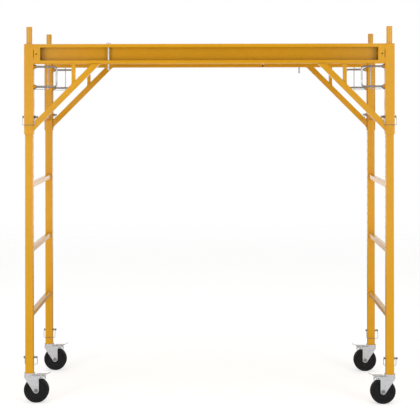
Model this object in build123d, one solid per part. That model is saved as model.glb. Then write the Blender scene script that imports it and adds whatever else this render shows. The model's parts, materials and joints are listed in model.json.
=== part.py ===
from build123d import *
import math
import os

# Baker scaffold: two ladder end frames on casters and a height-adjustable platform between them.
# Millimetres, +Z up, X along the platform, -Y to the front; the origin is on the floor at the centre.

# ---- end frames ----
LEG_X = 911.0                 # half the leg spacing along the platform
LEG_Y = 350.0                 # half the leg spacing across the platform
LEG_SIZE = 40.0               # square tube, outside
LEG_WALL = 2.5
LEG_CORNER = 4.0              # outer corner radius
LEG_BOTTOM = 150.0
LEG_TOP = 1816.0
HOLE_PITCH = 50.8             # spacing of the leg holes
FIRST_HOLE = 228.6            # height of the lowest hole
HOLE_COUNT = 31
HOLE_RADIUS = 5.5
RUNG_SIZE = 25.4
RUNG_WALL = 1.6
RUNG_CORNER = 3.0
FIRST_RUNG = 438.4
RUNG_PITCH = 330.2
RUNG_COUNT = 5
SPIGOT_RADIUS = 15.0
SPIGOT_WALL = 2.5
SPIGOT_TOP = 1904.0
SPIGOT_BOTTOM = 1770.0
SPIGOT_PLUG = 6.0             # square welded plug at the leg's mouth
SPIGOT_TAIL_RADIUS = 14.0     # reduced below the plug
SPIGOT_CHAMFER = 1.5
SPIGOT_HOLE_DROP = 20.0       # cross hole below the spigot's tip
SPIGOT_HOLE_RADIUS = 5.0

# ---- platform rails ----
RAIL_TOP = 1816.6
RAIL_HEIGHT = 101.6
RAIL_DEPTH = 38.0
RAIL_WALL = 3.0
RAIL_LIP = 18.0
RAIL_CORNER = 8.0             # outer bend radius
RAIL_BACK = 336.0             # distance of the web's inner face from the centre plane
SLEEVE_GAP = 1.0              # gap between a leg and its sleeve
SLEEVE_WALL = 3.0
SLEEVE_HEIGHT = 457.2
SLEEVE_CORNER = 4.0
END_PLATE_REACH = 35.0        # distances from the sleeve
END_PLATE_GAP = 2.5
END_PLATE_HOLE_X = 15.0
END_PLATE_HOLE = 4.0
DRAIN_SLOT_X = 302.0
DRAIN_SLOT_RISE = 11.5        # slot centre above the rail's underside
DRAIN_SLOT_LENGTH = 37.0
DRAIN_SLOT_HEIGHT = 7.5
BRACE_SIZE = 30.0
BRACE_WALL = 2.0
BRACE_CORNER = 3.0
BRACE_FOOT_Z = 1399.0         # height where a brace's centreline meets its sleeve
STRUT_SIZE = 19.0
STRUT_WALL = 1.6
STRUT_CORNER = 2.0
STRUT_X = 685.0

# ---- platform locks ----
LOCK_ROD_RADIUS = 4.75
LOCK_UPPER_HOLE = 29          # hole numbers counted from the lowest one
LOCK_LOWER_HOLE = 27
LOCK_HANDLE_X = 772.5
LOCK_TIP_X = 931.5
LOCK_BEND = 14.0
COLLAR_RADIUS = 8.0
COLLAR_LENGTH = 5.0
BUSH_RADIUS = 11.0
BUSH_LENGTH = 8.0
STRAP_X = 817.0
STRAP_THICKNESS = 3.0
STRAP_WIDTH = 20.0
STRAP_DROP = 14.2             # strap's foot below the lower lock rod
STRAP_BEND = 5.0
SPRING_WIRE = 0.8             # wire radius
SPRING_RADIUS = 6.2           # mean coil radius
SPRING_TURNS = 8
SPRING_PLAY = 0.1             # gap at each end of a spring

# ---- wire-lock pins ----
SLEEVE_PIN_HOLE = 24
PIN_HEAD = 20.5               # head end beyond the face it enters
PIN_TIP = 11.0                # tip beyond the far face
PIN_CHAMFER = 1.0
SHOULDER_RADIUS = 7.0
SHOULDER_LENGTH = 4.0
WIRE_RADIUS = 1.25
EYE_RADIUS = 6.1              # wire centreline round the pin
CASTER_EYE = 15.5             # bail's eye beyond the face that the pin's head is on
SLEEVE_EYE = 6.5
TIP_EYE = 7.5                 # bail's other eye beyond the far face
BAIL_DROP = 41.3
BAIL_SHOULDER = 8.0
BAIL_ARM_END = 26.0
BAIL_CLEARANCE = 3.5
BAIL_ARM_BEND = 5.0
BAIL_HOOP_BEND = 6.0

# ---- casters ----
WHEEL_RADIUS = 63.5
WHEEL_WIDTH = 32.0
HUB_WIDTH = 35.2
HUB_RADIUS = 15.0
HUB_FOOT_RADIUS = 18.0
WEB_RADIUS = 45.0             # outer end of the wheel's sunken web
WEB_DEPTH = 4.0
RIM_RADIUS = 49.0
TREAD_ROUND = 5.0
WHEEL_TRAIL = 35.0            # axle behind the swivel axis
CHEEK_INNER = 18.0
CHEEK_WALL = 3.5
CHEEK_END_RADIUS = 14.0
CHEEK_HEAD_HEIGHT = 7.0
BRAKE_ARM_DROP = 6.0          # brake arm below its pivot
BRAKE_ARM_BEVEL = 4.0
CROWN_BOTTOM = 134.0
CROWN_TOP = 138.0
CROWN_FRONT = 26.0
LOWER_RACE_RADIUS = 25.0
LOWER_RACE_TOP = 145.9
TOP_PLATE_RADIUS = 28.5
TOP_PLATE_BOTTOM = 146.0
TOP_PLATE_ROUND = 1.5
STEM_RADIUS = 17.0
STEM_TOP = 262.0
STEM_CHAMFER = 2.0
KINGPIN_RADIUS = 6.0
KINGPIN_HEAD_RADIUS = 9.0
KINGPIN_HEAD_HEIGHT = 3.5
KINGPIN_PLAY = 0.5            # gap between the kingpin's head and the crown
AXLE_RADIUS = 5.0
AXLE_THREAD_END = 3.0         # bolt beyond its nut
SPANNER_RADIUS = 8.0
RUNNING_GAP = 0.05
HEX_ACROSS_FLATS = 16.0
HEX_HEAD = 6.4
HEX_NUT = 8.0
WASHER = 1.6
WASHER_RADIUS = 10.0
BRAKE_PIVOT_X = 60.0
BRAKE_PIVOT_Z = 131.0
BRAKE_PIN_RADIUS = 3.0
BRAKE_PIN_END = 1.0           # pin beyond the cheek's face
BRAKE_ARM_END = 74.0
PEDAL_THICKNESS = 3.0
PEDAL_BOTTOM = 140.0
PEDAL_HALF_WIDTH = 16.0
PEDAL_START = 34.0            # distances from the swivel axis
PEDAL_BEND = 84.0
PEDAL_TIP = 106.0
PEDAL_TIP_RISE = 11.5
PEDAL_TAPER = 22.0            # degrees that the tip's sides turn in
EAR_RADIUS = 6.5
EAR_THICKNESS = 3.0
SHOE_TOP_X = 74.0
SHOE_FOOT_X = 78.5
SHOE_FOOT_Z = 118.5
SHOE_HALF_WIDTH = 12.0

# ---- deck and latches ----
DECK_THICKNESS = 16.0
DECK_X = 884.0
DECK_Y = 332.5
TRIM_THICKNESS = 3.0
STRIKE_WIDTH = 34.0           # steel plate let into the deck under each latch tab
STRIKE_DEPTH = 21.0
STRIKE_THICKNESS = 2.0
LEDGE_WIDTH = 25.0
LEDGE_HEIGHT = 25.6
STIFFENER_SPACING = 450.0
STIFFENER_WIDTH = 40.0
STIFFENER_DEPTH = 20.0
STIFFENER_HALF_LENGTH = 300.0
SCREW_RADIUS = 2.5
SCREW_HEAD_RADIUS = 5.0
SCREW_END = 8.0               # screw below the deck's underside
SCREW_Y = (-240.0, -100.0, 100.0, 240.0)
LATCH_X = 508.0
LATCH_Y = 355.0
LATCH_RADIUS = 5.0
LATCH_DROP = 33.0
LATCH_CHAMFER = 1.0
TAB_LIFT = 0.3                # gap between the tab and the deck
TAB_CORNER = 5.0
TAB_WIDTH = 24.0
TAB_REACH = 42.0
TAB_THICKNESS = 3.0
LATCH_HUB_RADIUS = 6.5
LATCH_HUB_HEIGHT = 3.5        # above the tab
LATCH_HUB_CHAMFER = 1.5

# ---- sizes worked out from the ones above ----
LEG_HALF = LEG_SIZE / 2
LEG_BORE = LEG_SIZE - 2 * LEG_WALL
LEG_INNER_Y = LEG_Y - LEG_HALF
RAIL_BOTTOM = RAIL_TOP - RAIL_HEIGHT
RAIL_FRONT = RAIL_BACK + RAIL_DEPTH
SLEEVE_INNER_X = LEG_X - LEG_HALF - SLEEVE_GAP - SLEEVE_WALL
SLEEVE_OUTER_X = LEG_X + LEG_HALF + SLEEVE_GAP + SLEEVE_WALL
SLEEVE_BOTTOM = RAIL_TOP - SLEEVE_HEIGHT
BRACE_Y = RAIL_FRONT - BRACE_SIZE / 2
BRACE_SUM = SLEEVE_INNER_X + BRACE_FOOT_Z        # x + z along a brace's centreline
DECK_BOTTOM = RAIL_TOP - DECK_THICKNESS
FORK_OUTER = CHEEK_INNER + CHEEK_WALL
AXLE_Z = WHEEL_RADIUS
CORNERS = {"front_left": (-1, -1), "front_right": (1, -1), "rear_left": (-1, 1), "rear_right": (1, 1)}


def hole_height(number):
    return FIRST_HOLE + number * HOLE_PITCH


def block(x0, x1, y0, y1, z0, z1):
    """Box between two opposite corners, given in any order."""
    centre = Pos((x0 + x1) / 2, (y0 + y1) / 2, (z0 + z1) / 2)
    return centre * Box(abs(x1 - x0), abs(y1 - y0), abs(z1 - z0))


def rod_x(radius, x0, x1, y, z):
    return Pos((x0 + x1) / 2, y, z) * Rot(0, 90, 0) * Cylinder(radius, abs(x1 - x0))


def rod_y(radius, y0, y1, x, z):
    return Pos(x, (y0 + y1) / 2, z) * Rot(90, 0, 0) * Cylinder(radius, abs(y1 - y0))


def rod_z(radius, z0, z1, x, y):
    return Pos(x, y, (z0 + z1) / 2) * Cylinder(radius, z1 - z0)


def ring_x(outer, inner, x0, x1, y, z):
    return rod_x(outer, x0, x1, y, z) - rod_x(inner, x0, x1, y, z)


def square_ring(size, wall, corner):
    """Cross-section of a square tube with rounded corners."""
    bore = size - 2 * wall
    return RectangleRounded(size, size, corner) - RectangleRounded(bore, bore, corner - wall + 0.01)


def wire(path, radius):
    """Round bar along a path."""
    return sweep(Plane(origin=path @ 0, z_dir=path % 0) * Circle(radius), path=path)


def group(solids):
    """Separate solids kept side by side in one node."""
    return Compound(children=[solid for item in solids for solid in item.solids()])


# ---------------------------------------------------------------- end frames
def leg(side_x, side_y):
    place = Pos(side_x * LEG_X, side_y * LEG_Y, LEG_BOTTOM)
    section = RectangleRounded(LEG_SIZE, LEG_SIZE, LEG_CORNER)
    section -= RectangleRounded(LEG_BORE, LEG_BORE, LEG_CORNER - LEG_WALL)
    tube = place * extrude(section, LEG_TOP - LEG_BOTTOM)
    x0 = side_x * LEG_X - LEG_SIZE
    x1 = side_x * LEG_X + LEG_SIZE
    holes = [rod_x(HOLE_RADIUS, x0, x1, side_y * LEG_Y, hole_height(k)) for k in range(HOLE_COUNT)]
    return tube - holes


def rungs(side_x):
    section = Plane.XZ * square_ring(RUNG_SIZE, RUNG_WALL, RUNG_CORNER)
    bar = extrude(section, LEG_INNER_Y, both=True)
    heights = [FIRST_RUNG + k * RUNG_PITCH for k in range(RUNG_COUNT)]
    return group([Pos(side_x * LEG_X, 0, z) * bar for z in heights])


def stacking_spigot(side_x, side_y):
    x = side_x * LEG_X
    y = side_y * LEG_Y
    plug_bottom = LEG_TOP - SPIGOT_PLUG
    tube = rod_z(SPIGOT_TAIL_RADIUS, SPIGOT_BOTTOM, plug_bottom, x, y)
    tube += rod_z(SPIGOT_RADIUS, plug_bottom, SPIGOT_TOP, x, y)
    plug_section = RectangleRounded(LEG_BORE, LEG_BORE, LEG_CORNER - LEG_WALL)
    tube += Pos(x, y, plug_bottom) * extrude(plug_section, SPIGOT_PLUG)
    tip = tube.faces().sort_by(Axis.Z)[-1]
    tube = chamfer(tip.edges(), SPIGOT_CHAMFER)
    tube -= rod_z(SPIGOT_RADIUS - SPIGOT_WALL, SPIGOT_BOTTOM, SPIGOT_TOP, x, y)
    return tube - rod_x(SPIGOT_HOLE_RADIUS, x - LEG_SIZE, x + LEG_SIZE, y, SPIGOT_TOP - SPIGOT_HOLE_DROP)


# ---------------------------------------------------------------- casters, built with the swivel axis on Z
def caster_stem():
    stem = rod_z(STEM_RADIUS, LEG_BOTTOM, STEM_TOP, 0, 0)
    stem = chamfer(stem.edges().sort_by(Axis.Z)[-1], STEM_CHAMFER)
    head_top = CROWN_BOTTOM - KINGPIN_PLAY
    stem += rod_z(KINGPIN_RADIUS, head_top, LEG_BOTTOM, 0, 0)
    stem += rod_z(KINGPIN_HEAD_RADIUS, head_top - KINGPIN_HEAD_HEIGHT, head_top, 0, 0)
    return stem - rod_x(HOLE_RADIUS, -LEG_HALF, LEG_HALF, 0, FIRST_HOLE)


def caster_top_plate():
    plate = rod_z(TOP_PLATE_RADIUS, TOP_PLATE_BOTTOM, LEG_BOTTOM, 0, 0)
    plate = fillet(plate.edges().sort_by(Axis.Z)[-1], TOP_PLATE_ROUND)
    return plate - rod_z(KINGPIN_RADIUS, TOP_PLATE_BOTTOM, LEG_BOTTOM, 0, 0)


def cheek_outline():
    """Side view of a fork cheek: a tapered leg round the axle and an arm that carries the brake pivot."""
    back = WHEEL_TRAIL + CHEEK_END_RADIUS
    head = Rectangle(back + CROWN_FRONT, CHEEK_HEAD_HEIGHT)
    head = Pos((back - CROWN_FRONT) / 2, CROWN_TOP - CHEEK_HEAD_HEIGHT / 2) * head
    foot = Pos(WHEEL_TRAIL, AXLE_Z) * Circle(CHEEK_END_RADIUS)
    tapered = make_hull(head.edges() + foot.edges())
    arm_start = back - BRAKE_ARM_DROP
    arm_low = BRAKE_PIVOT_Z - BRAKE_ARM_DROP
    arm_points = [
        (arm_start, arm_low),
        (BRAKE_ARM_END - BRAKE_ARM_BEVEL, arm_low),
        (BRAKE_ARM_END, BRAKE_PIVOT_Z),
        (BRAKE_ARM_END, CROWN_TOP),
        (arm_start, CROWN_TOP),
    ]
    return tapered + make_face(Polyline(arm_points, close=True))


def caster_fork():
    outline = cheek_outline()
    near = extrude(Plane.XZ.offset(CHEEK_INNER) * outline, CHEEK_WALL)
    far = extrude(Plane.XZ.offset(-CHEEK_INNER) * outline, -CHEEK_WALL)
    back = WHEEL_TRAIL + CHEEK_END_RADIUS
    crown = block(-CROWN_FRONT, back, -FORK_OUTER, FORK_OUTER, CROWN_BOTTOM, CROWN_TOP)
    fork = near + far + crown + rod_z(LOWER_RACE_RADIUS, CROWN_TOP, LOWER_RACE_TOP, 0, 0)
    fork -= rod_z(KINGPIN_RADIUS + RUNNING_GAP, CROWN_BOTTOM, LOWER_RACE_TOP, 0, 0)
    fork -= rod_y(AXLE_RADIUS, -FORK_OUTER, FORK_OUTER, WHEEL_TRAIL, AXLE_Z)
    return fork - rod_y(BRAKE_PIN_RADIUS, -FORK_OUTER, FORK_OUTER, BRAKE_PIVOT_X, BRAKE_PIVOT_Z)


def caster_wheel():
    """Solid wheel with a rounded tread, a shallow dished web and a raised hub."""
    bore = SPANNER_RADIUS + RUNNING_GAP
    half = WHEEL_WIDTH / 2
    web = half - WEB_DEPTH
    side = [
        (bore, HUB_WIDTH / 2),
        (HUB_RADIUS, HUB_WIDTH / 2),
        (HUB_FOOT_RADIUS, web),
        (WEB_RADIUS, web),
        (RIM_RADIUS, half),
        (WHEEL_RADIUS, half),
    ]
    other_side = [(r, -y) for r, y in reversed(side)]
    face = make_face(Polyline(side + other_side, close=True))
    tread_corners = face.vertices().sort_by(Axis.X)[-2:]
    face = fillet(tread_corners, TREAD_ROUND)
    return Pos(WHEEL_TRAIL, 0, AXLE_Z) * revolve(face, Axis.Y, 360)


def hex_y(across_flats, y0, y1, x, z):
    prism = extrude(RegularPolygon(across_flats / 2, 6, major_radius=False), abs(y1 - y0))
    return Pos(x, max(y0, y1), z) * Rot(90, 0, 0) * prism


def caster_fasteners():
    """Axle bolt, washers, nut and spanner bushing, with the brake's pivot pin."""
    x = WHEEL_TRAIL
    face = FORK_OUTER + WASHER
    nut_end = face + HEX_NUT
    bolt = rod_y(AXLE_RADIUS, -face, nut_end + AXLE_THREAD_END, x, AXLE_Z)
    bolt += hex_y(HEX_ACROSS_FLATS, -face - HEX_HEAD, -face, x, AXLE_Z)
    nut = hex_y(HEX_ACROSS_FLATS, face, nut_end, x, AXLE_Z)
    pieces = [bolt, nut - rod_y(AXLE_RADIUS, face, nut_end, x, AXLE_Z)]
    for y0, y1 in ((-face, -FORK_OUTER), (FORK_OUTER, face)):
        pieces.append(rod_y(WASHER_RADIUS, y0, y1, x, AXLE_Z) - rod_y(AXLE_RADIUS, y0, y1, x, AXLE_Z))
    spanner = rod_y(SPANNER_RADIUS, -CHEEK_INNER, CHEEK_INNER, x, AXLE_Z)
    pieces.append(spanner - rod_y(AXLE_RADIUS, -CHEEK_INNER, CHEEK_INNER, x, AXLE_Z))
    pin_half = FORK_OUTER + BRAKE_PIN_END
    pieces.append(rod_y(BRAKE_PIN_RADIUS, -pin_half, pin_half, BRAKE_PIVOT_X, BRAKE_PIVOT_Z))
    return group(pieces)


def brake_lever():
    """Pedal plate with an upturned tip, two ears on the pivot pin and a shoe above the tread."""
    top = PEDAL_BOTTOM + PEDAL_THICKNESS
    tip_low = PEDAL_BOTTOM + PEDAL_TIP_RISE
    plate_points = [
        (PEDAL_START, PEDAL_BOTTOM),
        (PEDAL_BEND, PEDAL_BOTTOM),
        (PEDAL_TIP, tip_low),
        (PEDAL_TIP - 1.0, tip_low + PEDAL_THICKNESS),
        (PEDAL_BEND - 1.0, top),
        (PEDAL_START, top),
    ]
    plate_face = Plane.XZ * make_face(Polyline(plate_points, close=True))
    lever = extrude(plate_face, PEDAL_HALF_WIDTH, both=True)
    for side in (-1, 1):
        corner = Box(2 * (PEDAL_TIP - PEDAL_BEND), PEDAL_HALF_WIDTH - 2.0, 4 * PEDAL_BOTTOM)
        lever -= Pos(PEDAL_TIP, side * PEDAL_HALF_WIDTH, 0) * Rot(0, 0, side * PEDAL_TAPER) * corner
    shoe_points = [
        (SHOE_TOP_X, PEDAL_BOTTOM),
        (SHOE_FOOT_X, SHOE_FOOT_Z),
        (SHOE_FOOT_X + PEDAL_THICKNESS, SHOE_FOOT_Z),
        (SHOE_TOP_X + PEDAL_THICKNESS + 1.0, PEDAL_BOTTOM),
    ]
    lever += extrude(Plane.XZ * make_face(Polyline(shoe_points, close=True)), SHOE_HALF_WIDTH, both=True)
    ear = Pos(BRAKE_PIVOT_X, BRAKE_PIVOT_Z) * Circle(EAR_RADIUS)
    ear_root = Rectangle(2 * EAR_RADIUS, PEDAL_BOTTOM - BRAKE_PIVOT_Z)
    ear += Pos(BRAKE_PIVOT_X, (BRAKE_PIVOT_Z + PEDAL_BOTTOM) / 2) * ear_root
    for y in (PEDAL_HALF_WIDTH - EAR_THICKNESS, -PEDAL_HALF_WIDTH):
        lever += extrude(Plane.XZ.offset(y) * ear, EAR_THICKNESS)
    pin_hole = BRAKE_PIN_RADIUS + RUNNING_GAP
    return lever - rod_y(pin_hole, -FORK_OUTER, FORK_OUTER, BRAKE_PIVOT_X, BRAKE_PIVOT_Z)


def at_caster(shape, side_x, side_y):
    """Puts a caster piece at its leg with the wheel trailing towards the scaffold's middle."""
    turned = shape if side_x < 0 else mirror(shape, about=Plane.YZ)
    return Pos(side_x * LEG_X, side_y * LEG_Y, 0) * turned


# ---------------------------------------------------------------- wire-lock pins and bails
def lock_pin(head_face, tip_face, y, z):
    """Round pin from a head beyond one face to a tip beyond the other, with a shoulder by the head."""
    outward = math.copysign(1.0, head_face - tip_face)
    head_end = head_face + outward * PIN_HEAD
    tip_end = tip_face - outward * PIN_TIP
    pin = rod_x(LOCK_ROD_RADIUS, head_end, tip_end, y, z)
    ends = pin.faces().sort_by(Axis.X)
    pin = chamfer(ends[0].edges() + ends[-1].edges(), PIN_CHAMFER)
    return pin + rod_x(SHOULDER_RADIUS, head_face, head_face + outward * SHOULDER_LENGTH, y, z)


def wire_bail(faces, head_eye, y, z, reach):
    """Spring-wire bail: an eye round each end of the pin, two stepped arms and a crossbar by the tube."""
    head_face, tip_face = faces
    outward = math.copysign(1.0, head_face - tip_face)
    x_head = head_face + outward * head_eye
    x_tip = tip_face - outward * TIP_EYE
    start = math.copysign(EYE_RADIUS, reach)
    arm_points = [(start, 0), (reach, -BAIL_SHOULDER), (reach, -BAIL_ARM_END)]
    bail = None
    for x in (x_head, x_tip):
        eye = Pos(x, y, z) * Rot(0, 90, 0) * Torus(EYE_RADIUS, WIRE_RADIUS)
        arm_plane = Plane(origin=(x, y, z), x_dir=(0, 1, 0), z_dir=(1, 0, 0))
        arm = wire(arm_plane * FilletPolyline(*arm_points, radius=BAIL_ARM_BEND), WIRE_RADIUS)
        bail = eye + arm if bail is None else bail + eye + arm
    hoop_plane = Plane(origin=(0, y + reach, z), x_dir=(1, 0, 0), z_dir=(0, -1, 0))
    hoop_points = [
        (x_head, -BAIL_ARM_END),
        (x_head, -BAIL_DROP),
        (x_tip, -BAIL_DROP),
        (x_tip, -BAIL_ARM_END),
    ]
    return bail + wire(hoop_plane * FilletPolyline(*hoop_points, radius=BAIL_HOOP_BEND), WIRE_RADIUS)


def sleeve_pin_faces(side_x):
    """Faces that a sleeve's lock pin enters and leaves: the head is on the scaffold's inner side."""
    return side_x * SLEEVE_INNER_X, side_x * SLEEVE_OUTER_X


def caster_pin_faces(side_x):
    """Faces of a leg that the caster's lock pin enters and leaves: every head is on the +X side."""
    return side_x * LEG_X + LEG_HALF, side_x * LEG_X - LEG_HALF


# ---------------------------------------------------------------- platform rails
def sleeve(side_x, side_y):
    """U-channel round a leg, open towards the rungs, with the lock and pin holes."""
    width = SLEEVE_OUTER_X - SLEEVE_INNER_X
    outer = RectangleRounded(width, 2 * RAIL_DEPTH, SLEEVE_CORNER)
    bore_corner = SLEEVE_CORNER - SLEEVE_WALL
    bore = RectangleRounded(width - 2 * SLEEVE_WALL, 2 * (RAIL_DEPTH - SLEEVE_WALL), bore_corner)
    section = (outer - bore) & (Pos(0, side_y * RAIL_DEPTH / 2) * Rectangle(width, RAIL_DEPTH))
    shell = Pos(side_x * LEG_X, side_y * RAIL_BACK, SLEEVE_BOTTOM) * extrude(section, SLEEVE_HEIGHT)
    y = side_y * LEG_Y
    for number in (LOCK_UPPER_HOLE, LOCK_LOWER_HOLE):
        shell -= rod_x(HOLE_RADIUS, side_x * SLEEVE_INNER_X, side_x * LEG_X, y, hole_height(number))
    pin_z = hole_height(SLEEVE_PIN_HOLE)
    return shell - rod_x(HOLE_RADIUS, side_x * SLEEVE_INNER_X, side_x * SLEEVE_OUTER_X, y, pin_z)


def side_rail(side_y):
    """Lipped C-channel with its web to the deck and its opening outwards."""
    centre_y = side_y * (RAIL_BACK + RAIL_DEPTH / 2)
    centre_z = RAIL_TOP - RAIL_HEIGHT / 2
    section = RectangleRounded(RAIL_DEPTH, RAIL_HEIGHT, RAIL_CORNER)
    inner_corner = RAIL_CORNER - RAIL_WALL
    section -= RectangleRounded(RAIL_DEPTH - 2 * RAIL_WALL, RAIL_HEIGHT - 2 * RAIL_WALL, inner_corner)
    section -= Pos(side_y * RAIL_DEPTH / 2) * Rectangle(RAIL_DEPTH, RAIL_HEIGHT - 2 * RAIL_LIP)
    profile_plane = Plane(origin=(0, centre_y, centre_z), x_dir=(0, 1, 0), z_dir=(1, 0, 0))
    rail = extrude(profile_plane * section, SLEEVE_INNER_X, both=True)
    latch_x = side_y * LATCH_X
    rail -= rod_z(LATCH_RADIUS + RUNNING_GAP, RAIL_BOTTOM, RAIL_TOP, latch_x, side_y * LATCH_Y)
    slot_z = RAIL_BOTTOM + DRAIN_SLOT_RISE
    slot_plane = Plane(origin=(side_y * DRAIN_SLOT_X, 0, slot_z), z_dir=(0, side_y, 0))
    slot_outline = slot_plane * SlotOverall(DRAIN_SLOT_LENGTH, DRAIN_SLOT_HEIGHT)
    slot = extrude(slot_outline, RAIL_BACK + RAIL_CORNER)
    return rail - slot


def end_plate(side_x, side_y):
    """Plate between the lips that closes the rail's recess beside the sleeve."""
    x0 = side_x * (SLEEVE_INNER_X - END_PLATE_REACH)
    x1 = side_x * (SLEEVE_INNER_X - END_PLATE_GAP)
    y0 = side_y * RAIL_FRONT
    y1 = side_y * (RAIL_FRONT - RAIL_WALL)
    plate = block(x0, x1, y0, y1, RAIL_BOTTOM + RAIL_LIP, RAIL_TOP - RAIL_LIP)
    hole_x = side_x * (SLEEVE_INNER_X - END_PLATE_HOLE_X)
    return plate - rod_y(END_PLATE_HOLE, y0, y1, hole_x, RAIL_TOP - RAIL_HEIGHT / 2)


def deck_ledge(side_y):
    """Angle on the web that the deck rests on."""
    tip = side_y * (RAIL_BACK - LEDGE_WIDTH)
    back = side_y * RAIL_BACK
    flange = block(-DECK_X, DECK_X, back, tip, DECK_BOTTOM - RAIL_WALL, DECK_BOTTOM)
    inner = side_y * (RAIL_BACK - RAIL_WALL)
    return flange + block(-DECK_X, DECK_X, back, inner, DECK_BOTTOM - LEDGE_HEIGHT, DECK_BOTTOM)


def brace(side_x, side_y):
    """Diagonal square tube from the sleeve up to the rail's underside, cut flush at both ends."""
    length = (RAIL_BOTTOM - BRACE_FOOT_Z) * math.sqrt(2)
    overrun = 2 * BRACE_SIZE
    start = overrun / math.sqrt(2)
    origin = (side_x * (SLEEVE_INNER_X + start), side_y * BRACE_Y, BRACE_FOOT_Z - start)
    axis_plane = Plane(origin=origin, x_dir=(0, 1, 0), z_dir=(-side_x, 0, 1))
    tube = extrude(axis_plane * square_ring(BRACE_SIZE, BRACE_WALL, BRACE_CORNER), length + 2 * overrun)
    y0 = side_y * (BRACE_Y - BRACE_SIZE)
    y1 = side_y * (BRACE_Y + BRACE_SIZE)
    tube -= block(side_x * SLEEVE_INNER_X, side_x * 2 * LEG_X, y0, y1, 0, RAIL_TOP)
    return tube - block(0, side_x * 2 * LEG_X, y0, y1, RAIL_BOTTOM, 2 * RAIL_TOP)


def strut(side_x, side_y):
    """Short upright from the brace to the rail, its foot mitred to the brace's upper face."""
    foot = (side_x * STRUT_X, side_y * BRACE_Y, BRACE_SUM + BRACE_SIZE / math.sqrt(2) - STRUT_X)
    height = RAIL_BOTTOM - foot[2] + STRUT_SIZE
    tube = extrude(square_ring(STRUT_SIZE, STRUT_WALL, STRUT_CORNER), height)
    tube = Pos(foot) * Pos(0, 0, -STRUT_SIZE) * tube
    slope = Plane(origin=foot, x_dir=(0, 1, 0), z_dir=(side_x, 0, 1))
    below = 4 * STRUT_SIZE
    return tube - slope.location * Pos(0, 0, -below / 2) * Box(below, below, below)


# ---------------------------------------------------------------- platform locks
def guide_bush(side_x, side_y, number):
    x0 = side_x * (SLEEVE_INNER_X - BUSH_LENGTH)
    x1 = side_x * SLEEVE_INNER_X
    return ring_x(BUSH_RADIUS, HOLE_RADIUS, x0, x1, side_y * LEG_Y, hole_height(number))


def guide_strap(side_x, side_y):
    """Bent flat bar: down from the rail past both lock rods, then out to the sleeve."""
    x_in = STRAP_X - STRAP_THICKNESS / 2
    x_mid = x_in + STRAP_THICKNESS
    z_low = hole_height(LOCK_LOWER_HOLE) - STRAP_DROP
    z_mid = z_low + STRAP_THICKNESS
    outline = [
        (x_in, z_low),
        (SLEEVE_INNER_X, z_low),
        (SLEEVE_INNER_X, z_mid),
        (x_mid, z_mid),
        (x_mid, RAIL_BOTTOM),
        (x_in, RAIL_BOTTOM),
    ]
    profile = make_face(Polyline([(side_x * x, z) for x, z in outline], close=True))
    corners = profile.vertices()
    outer = corners.sort_by_distance((side_x * x_in, z_low, 0))[0]
    profile = fillet(outer, STRAP_BEND)
    inner = profile.vertices().sort_by_distance((side_x * x_mid, z_mid, 0))[0]
    profile = fillet(inner, STRAP_BEND - STRAP_THICKNESS)
    plane = Plane(origin=(0, side_y * LEG_Y, 0), x_dir=(1, 0, 0), z_dir=(0, -1, 0))
    strap = extrude(plane * profile, STRAP_WIDTH / 2, both=True)
    for number in (LOCK_UPPER_HOLE, LOCK_LOWER_HOLE):
        strap -= rod_x(HOLE_RADIUS, side_x * x_in, side_x * x_mid, side_y * LEG_Y, hole_height(number))
    return strap


def platform_lock(side_x, side_y):
    """U-shaped rod whose two ends are the lock pins, with a collar on each that the spring pushes on."""
    upper = hole_height(LOCK_UPPER_HOLE)
    lower = hole_height(LOCK_LOWER_HOLE)
    tip = side_x * LOCK_TIP_X
    handle = side_x * LOCK_HANDLE_X
    plane = Plane(origin=(0, side_y * LEG_Y, 0), x_dir=(1, 0, 0), z_dir=(0, -1, 0))
    corners = [(tip, upper), (handle, upper), (handle, lower), (tip, lower)]
    rod = wire(plane * FilletPolyline(*corners, radius=LOCK_BEND), LOCK_ROD_RADIUS)
    x1 = side_x * (SLEEVE_INNER_X - BUSH_LENGTH)
    x0 = x1 - side_x * COLLAR_LENGTH
    collars = [ring_x(COLLAR_RADIUS, LOCK_ROD_RADIUS, x0, x1, side_y * LEG_Y, z) for z in (upper, lower)]
    return group([rod] + collars)


def lock_springs(side_x, side_y):
    """Two compression springs between the guide strap and the lock's collars."""
    inset = SPRING_WIRE + SPRING_PLAY
    x0 = STRAP_X + STRAP_THICKNESS / 2 + inset
    x1 = SLEEVE_INNER_X - BUSH_LENGTH - COLLAR_LENGTH - inset
    coil = Helix(pitch=(x1 - x0) / SPRING_TURNS, height=x1 - x0, radius=SPRING_RADIUS)
    start = Plane(origin=coil @ 0, z_dir=coil % 0)
    spring = sweep(start * Circle(SPRING_WIRE), path=coil, is_frenet=True)
    spring = Rot(0, side_x * 90, 0) * spring
    y = side_y * LEG_Y
    heights = (hole_height(LOCK_UPPER_HOLE), hole_height(LOCK_LOWER_HOLE))
    return group([Pos(side_x * x0, y, z) * spring for z in heights])


# ---------------------------------------------------------------- deck and latches
def screw_places():
    return [(x, y) for x in (-STIFFENER_SPACING, 0.0, STIFFENER_SPACING) for y in SCREW_Y]


def deck_screw():
    """Countersunk screw, its head flush with the deck."""
    head = Pos(0, 0, RAIL_TOP - SCREW_RADIUS / 2) * Cone(SCREW_RADIUS, SCREW_HEAD_RADIUS, SCREW_RADIUS)
    return head + rod_z(SCREW_RADIUS, DECK_BOTTOM - SCREW_END, RAIL_TOP - SCREW_RADIUS, 0, 0)


def strike_plate(side_y):
    x = side_y * LATCH_X
    half = STRIKE_WIDTH / 2
    edge = side_y * (DECK_Y - TRIM_THICKNESS)
    inner = edge - side_y * STRIKE_DEPTH
    return block(x - half, x + half, edge, inner, RAIL_TOP - STRIKE_THICKNESS, RAIL_TOP)


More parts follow.
